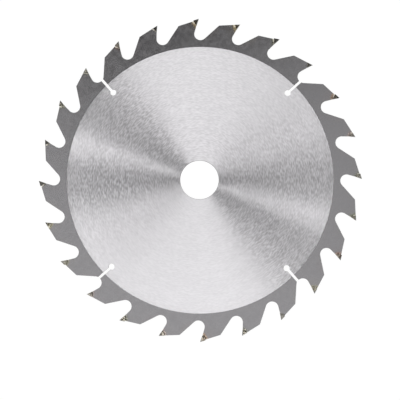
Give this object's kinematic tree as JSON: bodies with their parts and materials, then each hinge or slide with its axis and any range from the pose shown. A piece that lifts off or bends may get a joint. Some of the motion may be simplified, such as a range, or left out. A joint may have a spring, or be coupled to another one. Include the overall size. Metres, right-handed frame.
{
  "type": "circular saw blade",
  "caption": "Flat steel saw blade with a round bore, hooked teeth that carry brazed carbide tips with alternate top bevels, and leaning expansion slots in the rim.",
  "frame": {"origin": "centre of the bore, in the middle of the plate's thickness", "axes": "+Z along the bore's axis, out of the face that the picture shows, with the teeth pointing clockwise seen from +Z; +Y through the cutting point of tooth 1, where that tooth's top is highest at the +Z side; +X to the right of the picture"},
  "size_m": [0.25, 0.25, 0.0032],
  "materials": {
    "plate": "disc ground in circles on both faces, with a matte grey ring outside it that carries the teeth",
    "carbide": "dark cemented carbide, diamond ground on its face, top and sides",
    "braze": "pale gold braze, smooth where it has run, heat stained at its edge"
  },
  "bodies": {
    "root": {"blade_plate": "plate", "carbide_tip_01": "carbide", "carbide_tip_02": "carbide", "carbide_tip_03": "carbide", "carbide_tip_04": "carbide", "carbide_tip_05": "carbide", "carbide_tip_06": "carbide", "carbide_tip_07": "carbide", "carbide_tip_08": "carbide", "carbide_tip_09": "carbide", "carbide_tip_10": "carbide", "carbide_tip_11": "carbide", "carbide_tip_12": "carbide", "carbide_tip_13": "carbide", "carbide_tip_14": "carbide", "carbide_tip_15": "carbide", "carbide_tip_16": "carbide", "carbide_tip_17": "carbide", "carbide_tip_18": "carbide", "carbide_tip_19": "carbide", "carbide_tip_20": "carbide", "carbide_tip_21": "carbide", "carbide_tip_22": "carbide", "carbide_tip_23": "carbide", "carbide_tip_24": "carbide", "braze_01": "braze", "braze_02": "braze", "braze_03": "braze", "braze_04": "braze", "braze_05": "braze", "braze_06": "braze", "braze_07": "braze", "braze_08": "braze", "braze_09": "braze", "braze_10": "braze", "braze_11": "braze", "braze_12": "braze", "braze_13": "braze", "braze_14": "braze", "braze_15": "braze", "braze_16": "braze", "braze_17": "braze", "braze_18": "braze", "braze_19": "braze", "braze_20": "braze", "braze_21": "braze", "braze_22": "braze", "braze_23": "braze", "braze_24": "braze"}
  },
  "joints": []
}
